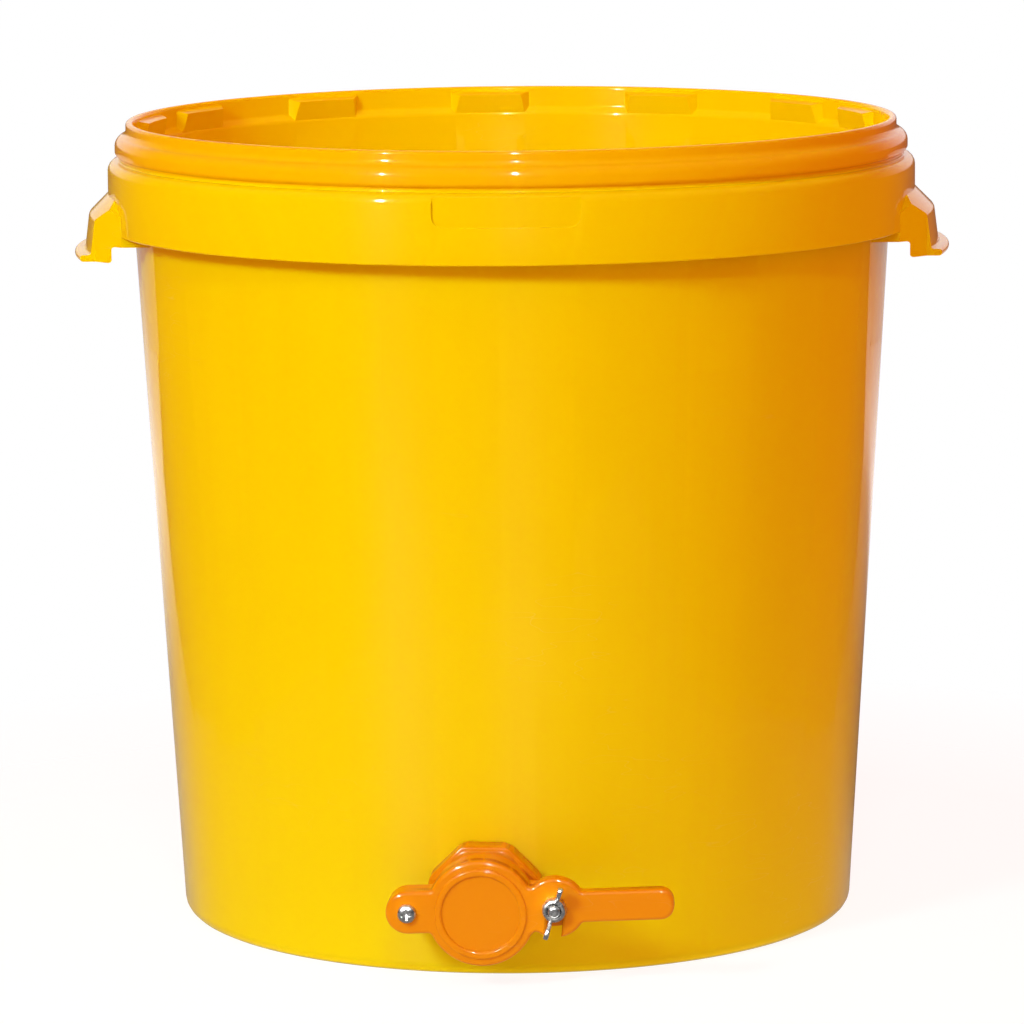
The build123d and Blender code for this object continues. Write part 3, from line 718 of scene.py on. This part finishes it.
# Gate body: an orange injection moulding, glossier than the tank. Its spigot goes through the
# wall, its octagonal collar stops against the outer gasket, and its seat's ears carry the bolts.
GATE_SMOOTH = 35
gate_plastic = moulded_plastic(
    "gate_plastic",
    {
        "Pigment": (0.71, 0.235, 0.0, 1),
        "Clouding": 0.05,
        "Gloss Roughness": 0.3,
        "Scuffing": 0.1,
        "Peel": 0.6,
    },
    clear_coat=0.5,
    coat_roughness=0.085,
)
gate_body = merged_copy("gate_body", GATE_SMOOTH)

# the collar's eight corners are rounded by a cutter with a rounded octagon for its hole
COLLAR_SIDES = 8
COLLAR_CORNER = 28.68
COLLAR_TURN = math.radians(19.2)
COLLAR_ROUND = 3.6
COLLAR_FRONT = 11.2
CUTTER_RADIUS = 1.3 * COLLAR_CORNER
CUTTER_STEPS = 72
CUTTER_PAST = 1.0
bm = bmesh.new()
bmesh.ops.create_circle(
    bm,
    segments=COLLAR_SIDES,
    radius=COLLAR_CORNER * MM,
    matrix=Matrix.Rotation(COLLAR_TURN, 4, "Z"),
)
rounded(bm, bm.verts[:], COLLAR_ROUND, "VERTICES", 8)
bmesh.ops.create_circle(bm, segments=CUTTER_STEPS, radius=CUTTER_RADIUS * MM)
bmesh.ops.bridge_loops(bm, edges=bm.edges[:])
pull(bm, (0, 0, (COLLAR_FRONT + 2 * CUTTER_PAST) * MM))
behind_collar = gate_place @ Matrix.Translation((0, 0, -CUTTER_PAST * MM))
bmesh.ops.transform(bm, matrix=behind_collar, verts=bm.verts)
combine(gate_body, solid("corner_cutter", bm), "DIFFERENCE")
fit(evened(gate_body, GATE_SMOOTH), "tank", gate_plastic, "gate_body")


# Inner gasket: the outer gasket's twin in amber silicone, on the inside of the wall.
# The ring nut squeezes it, so that no honey creeps out along the spigot.
carry("gate_inner_gasket", 40, "tank", rubber)


# Ring nut: an orange octagonal moulding, screwed on to the spigot inside the tank.
# It draws the collar up to the wall and squeezes both gaskets.
carry("gate_ring_nut", GATE_SMOOTH, "tank", gate_plastic)


# Blade: the orange swing shutter, moulded in one with its pivot ear, the hook over the clamp
# bolt, the raised ring on its face and the hand lever.
carry("gate_blade", GATE_SMOOTH, "blade", gate_plastic)


# Pivot screw: a zinc-plated steel pan head with a cross recess, cold headed.
# It goes through the blade and the gate body's ear, and the blade turns on it.
DARK_ZINC = (0.44, 0.44, 0.45, 1)
PALE_ZINC = (0.72, 0.71, 0.68, 1)
SPANGLE_SCALE = 380.0
SPANGLE_DULLNESS = (0.3, 0.7, 0.16, 0.36)
steel, tree, shader = new_material("zinc_steel")
place = node(tree, "ShaderNodeTexCoord").outputs["Object"]
spangle = noise(tree, place, SPANGLE_SCALE, 4.0)
plated = {
    "Metallic": 1.0,
    "Base Color": blend(tree, spangle, DARK_ZINC, PALE_ZINC),
    "Roughness": ramp(tree, spangle, *SPANGLE_DULLNESS),
}
give(tree, shader, plated)
carry("pivot_screw", 35, "tank", steel)


# Pivot washer: a plain washer stamped from zinc-plated steel.
# It spreads the nut's pull over the back of the gate body's ear.
carry("pivot_washer", 35, "tank", steel)


# Pivot nut: a zinc-plated hexagon nut in steel, cold formed and tapped.
# It holds the pivot screw from behind the ear.
carry("pivot_nut", 25, "tank", steel)


# Clamp bolt: a zinc-plated steel bolt, with its head let into the back of the ear.
# Its shank goes through the blade's hook, and its domed end shows in the wing nut.
carry("clamp_bolt", 25, "tank", steel)


# Clamp washer: a small plain washer stamped from zinc-plated steel, loose on the clamp bolt.
# It lies between the wing nut and the blade, and moves out with the nut.
carry("clamp_washer", 35, "clamp_washer", steel)


# Wing nut: a zinc-plated casting with two wings, turned by hand to clamp the blade. Its boss is
# rounded and its thread countersunk, so a dark gap shows round the bolt's end.
BOLT_PLACE = (34.4, 1.5, 32.0)
WING_TURN = math.radians(70)
WING_ROOT = 4.3
WING_TIP = 12.75
WING_TOP = 10.0
WING_ROUND = 1.8
WING_EDGE = 0.7
ROOT_THICKNESS = 1.9
TIP_THICKNESS = 2.4
BOSS_STEPS = 48

# radius, height and rounding of each corner
BOSS_SECTION = [(3.05, 0, 0), (5.8, 0, 0.3), (5.3, 4.5, 1.5), (3.75, 4.5, 0.5), (3.05, 3.4, 0)]
WING_SIDE = [
    (WING_ROOT, 0.8, 0), (5.8, 0.8, WING_ROUND), (WING_TIP, 5.0, WING_ROUND),
    (WING_TIP, WING_TOP, WING_ROUND), (8.55, WING_TOP, WING_ROUND), (WING_ROOT, 3.7, 0),
]
bm = bmesh.new()
rounded_section(bm, BOSS_SECTION, True)
full_turn(bm, BOSS_STEPS)
wing_nut = solid("wing_nut_shown", bm)

# a wing is drawn one unit thick and then brought down to its thickness along its length
bm = bmesh.new()
rounded_section(bm, WING_SIDE, True)
bmesh.ops.contextual_create(bm, geom=bm.edges[:])
pull(bm, (0, 1, 0))
for vert in bm.verts:
    share = (vert.co.x / MM - WING_ROOT) / (WING_TIP - WING_ROOT)
    thickness = ROOT_THICKNESS + (TIP_THICKNESS - ROOT_THICKNESS) * share
    vert.co.y = (vert.co.y - 0.5) * thickness * MM
long_edges = [
    edge
    for edge in bm.edges
    if edge.calc_face_angle(0) > SHARP
    and abs(edge.verts[0].co.y - edge.verts[1].co.y) < 0.5 * MM
]
rounded(bm, long_edges, WING_EDGE, "EDGES", 3)
wings = round_the_axis("wings", solid("wing", bm), (0, 180))
combine(wing_nut, wings, "UNION", "FAST")
bolt_place = gate_place @ Matrix.Translation(Vector(BOLT_PLACE) * MM)
wing_nut.data.transform(bolt_place @ Matrix.Rotation(WING_TURN, 4, "Z"))
smooth(wing_nut, 40)
fit(wing_nut, "wing_nut", steel, "wing_nut")


# Camera: the photograph's viewpoint, a long lens in front of the tank and a little above it.
# Its place, turns and lens were fitted to the photograph.
CAMERA_PLACE = (0.0364, -2.7585, 0.6235)
CAMERA_PAN = math.radians(0.78)
CAMERA_DIP = 0.1543
CAMERA_ROLL = -0.0089
CAMERA_LENS = 199.8
SENSOR_WIDTH = 36.0
FARTHEST_SEEN = 30.0
camera_data = bpy.data.cameras.new("camera")
camera_data.lens = CAMERA_LENS
camera_data.sensor_width = SENSOR_WIDTH
camera_data.clip_end = FARTHEST_SEEN
camera = bpy.data.objects.new("camera", camera_data)
bpy.context.scene.collection.objects.link(camera)
camera.matrix_world = (
    Matrix.Translation(CAMERA_PLACE)
    @ Matrix.Rotation(CAMERA_PAN, 4, "Z")
    @ Matrix.Rotation(math.pi / 2 - CAMERA_DIP, 4, "X")
    @ Matrix.Rotation(CAMERA_ROLL, 4, "Z")
)
bpy.context.scene.camera = camera
bpy.context.scene.view_settings.view_transform = "Standard"


# Floor: white paper under the tank that spreads out behind it and shows in the glossy wall.
# To the camera it fades out before its edges. In reflections it glows with painted shade: dim
# close to the tank and in front of it, with a painted shadow of the tank behind it. For bounce
# light it glows too, lighting the lower wall with a slightly green tint.
SHEET_SIDE = [
    (0.42, -0.62), (0.42, 0.2), (0.62, 0.68), (0.8, 1.0),
    (1.08, 1.29), (1.65, 1.72), (2.3, 2.6), (2.3, 3.5),
]
WHITE = (1.0, 1.0, 1.0, 1)
PAPER_COLOUR = (0.9, 0.9, 0.9, 1)
PAPER_GLOW = 1.1
CAMERA_SHARE = 0.8

# each fade runs between two distances in metres, and may give its levels at both
CAMERA_FADE = (0.35, 0.62)
# painted shade in the reflected glow: near the tank, in front of it, and a painted shadow behind
# it
NEAR_PAINTED_SHADE = (0.6, 1.3, 0.3, 1.0)
FAR_FADE = (1.3, 2.2, 1.15, 0.6)
FRONT_PAINTED_SHADE = (-0.3, 0.05, 0.6, 1.0)
PAINTED_SHADOW_FADE = (0.7, 1.2, 0.3, 1.0)
PAINTED_SHADOW_PLACE = (0.44, 0.61, 0)
PAINTED_SHADOW_TURN = math.radians(36)
PAINTED_SHADOW_SPREAD = (0.3, 0.65, 1)
# a slightly green glow that the floor gives off as bounce light on the lower wall
BOUNCE_GLOW_TINT = (0.85, 1.0, 0.5, 1)
BOUNCE_GLOW_SHARE = 0.4


def mixed(tree, factor, first, second):
    """One shader mixed with another."""
    return node(tree, "ShaderNodeMixShader", {0: factor, 1: first, 2: second}).outputs[0]


bm = bmesh.new()
sheet = [(-x, y) for x, y in SHEET_SIDE] + SHEET_SIDE[::-1]
bm.faces.new([bm.verts.new((x, y, 0)) for x, y in sheet])
floor = solid("floor", bm)
paper, tree, shader = new_material("paper")
give(tree, shader, {"Base Color": PAPER_COLOUR, "Roughness": 0.8, "Specular IOR Level": 0.1})
seen = node(tree, "ShaderNodeLightPath").outputs
place = node(tree, "ShaderNodeTexCoord").outputs["Object"]
distance = length(tree, place)
painted_shadow_space = node(
    tree,
    "ShaderNodeMapping",
    {
        "Vector": place,
        "Location": PAINTED_SHADOW_PLACE,
        "Rotation": (0, 0, -PAINTED_SHADOW_TURN),
        "Scale": PAINTED_SHADOW_SPREAD,
    },
    vector_type="TEXTURE",
)
depth = node(tree, "ShaderNodeSeparateXYZ", {0: place}).outputs["Y"]
# the floor's glow in reflections, dimmed by painted shade and a painted shadow of the tank
painted_reflection = ramp(tree, distance, *FAR_FADE)
for fade in (
    ramp(tree, distance, *NEAR_PAINTED_SHADE),
    ramp(tree, length(tree, painted_shadow_space.outputs["Vector"]), *PAINTED_SHADOW_FADE),
    ramp(tree, depth, *FRONT_PAINTED_SHADE),
):
    painted_reflection = calc(tree, "MULTIPLY", painted_reflection, fade)
strength = node(
    tree,
    "ShaderNodeMix",
    {"Factor": seen["Is Glossy Ray"], "A": PAPER_GLOW, "B": painted_reflection},
    data_type="FLOAT",
).outputs["Result"]
# for bounce light the floor glows in a slightly green tint
tint = blend(tree, seen["Is Diffuse Ray"], WHITE, BOUNCE_GLOW_TINT)
glow = node(tree, "ShaderNodeEmission", {"Color": tint, "Strength": strength}).outputs[0]
to_camera = calc(tree, "MULTIPLY", seen["Is Camera Ray"], CAMERA_SHARE)
bounce_glow = calc(tree, "MULTIPLY", seen["Is Diffuse Ray"], BOUNCE_GLOW_SHARE)
share = calc(tree, "MAXIMUM", calc(tree, "MAXIMUM", to_camera, bounce_glow), seen["Is Glossy Ray"])
lit = mixed(tree, share, shader.outputs[0], glow)
gone = calc(tree, "MULTIPLY", ramp(tree, distance, *CAMERA_FADE), seen["Is Camera Ray"])
clear = node(tree, "ShaderNodeBsdfTransparent").outputs[0]
give(tree, tree.nodes["Material Output"], {"Surface": mixed(tree, gone, lit, clear)})
floor.data.materials.append(paper)


# Studio light: a soft cool key from the upper left, a small lamp above the camera and a warm room.
# Each lamp has a slim white twin that only glints. Glossy surfaces see a pale ceiling and a pale
# backdrop behind the tank, and the camera sees white.
ROOM_COLOUR = (1.0, 0.33, 0.25, 1)
ROOM_LEVEL = 0.89

# where the room's parts start and end along a direction, and their levels there
CEILING = (0.3, 0.95, 0.05, 0.6)
BACKDROP_BEHIND = (0.5, 0.85)
BACKDROP_FOOT = (-0.02, 0.03)
BACKDROP_TOP = (0.25, 0.5, 1.0, 0.0)
world = bpy.data.worlds.new("studio")
bpy.context.scene.world = world
world.use_nodes = True
tree = world.node_tree
seen = node(tree, "ShaderNodeLightPath").outputs
room = tree.nodes["Background"]
give(tree, room, {"Color": ROOM_COLOUR, "Strength": ROOM_LEVEL})
towards = node(tree, "ShaderNodeTexCoord").outputs["Generated"]
direction = node(tree, "ShaderNodeSeparateXYZ", {0: towards}).outputs
backdrop = ramp(tree, direction["Y"], *BACKDROP_BEHIND)
for limit in (BACKDROP_FOOT, BACKDROP_TOP):
    backdrop = calc(tree, "MULTIPLY", backdrop, ramp(tree, direction["Z"], *limit))
around = calc(tree, "MAXIMUM", ramp(tree, direction["Z"], *CEILING), backdrop)
mirrored = node(tree, "ShaderNodeBackground", {"Color": WHITE, "Strength": around}).outputs[0]
white = node(tree, "ShaderNodeBackground", {"Color": WHITE, "Strength": 1.0}).outputs[0]
dressed = mixed(tree, seen["Is Glossy Ray"], room.outputs[0], mirrored)
direct = calc(tree, "MAXIMUM", seen["Is Camera Ray"], seen["Is Transmission Ray"])
give(tree, tree.nodes["World Output"], {"Surface": mixed(tree, direct, dressed, white)})

LAMP_AIM = Vector((0, 0, 0.2))
KEY_PLACE = (-36, 27, 2.2)
TOP_PLACE = (2, 36, 2.4)
COOL = (0.63, 1.0, 1.0)
PLAIN = (1.0, 1.0, 1.0)


def lamp(name, lamp_place, size, level, colour, glints):
    """A flat lamp, at an azimuth, elevation and distance, that lights the tank or only glints.

    A level of 1 lights a white surface that faces the lamp to white.
    """
    azimuth, elevation, distance = lamp_place
    data = bpy.data.lights.new(name, "AREA")
    data.shape = "RECTANGLE"
    data.size, data.size_y = size
    data.color = colour
    data.energy = level * math.pi**2 * distance**2
    made = bpy.data.objects.new(name, data)
    made.visible_diffuse = not glints
    made.visible_glossy = glints
    bpy.context.scene.collection.objects.link(made)
    turn, rise = math.radians(azimuth), math.radians(elevation)
    level_reach = math.cos(rise)
    away = Vector((math.sin(turn) * level_reach, -math.cos(turn) * level_reach, math.sin(rise)))
    made.location = LAMP_AIM + away * distance
    made.rotation_euler = (-away).to_track_quat("-Z", "Y").to_euler()


lamp("key", KEY_PLACE, size=(0.35, 0.35), level=0.57, colour=COOL, glints=False)
lamp("key_glint", KEY_PLACE, size=(0.05, 0.3), level=4.0, colour=PLAIN, glints=True)
lamp("top", TOP_PLACE, size=(0.25, 0.25), level=0.15, colour=COOL, glints=False)
lamp("top_glint", TOP_PLACE, size=(0.03, 0.3), level=2.8, colour=PLAIN, glints=True)
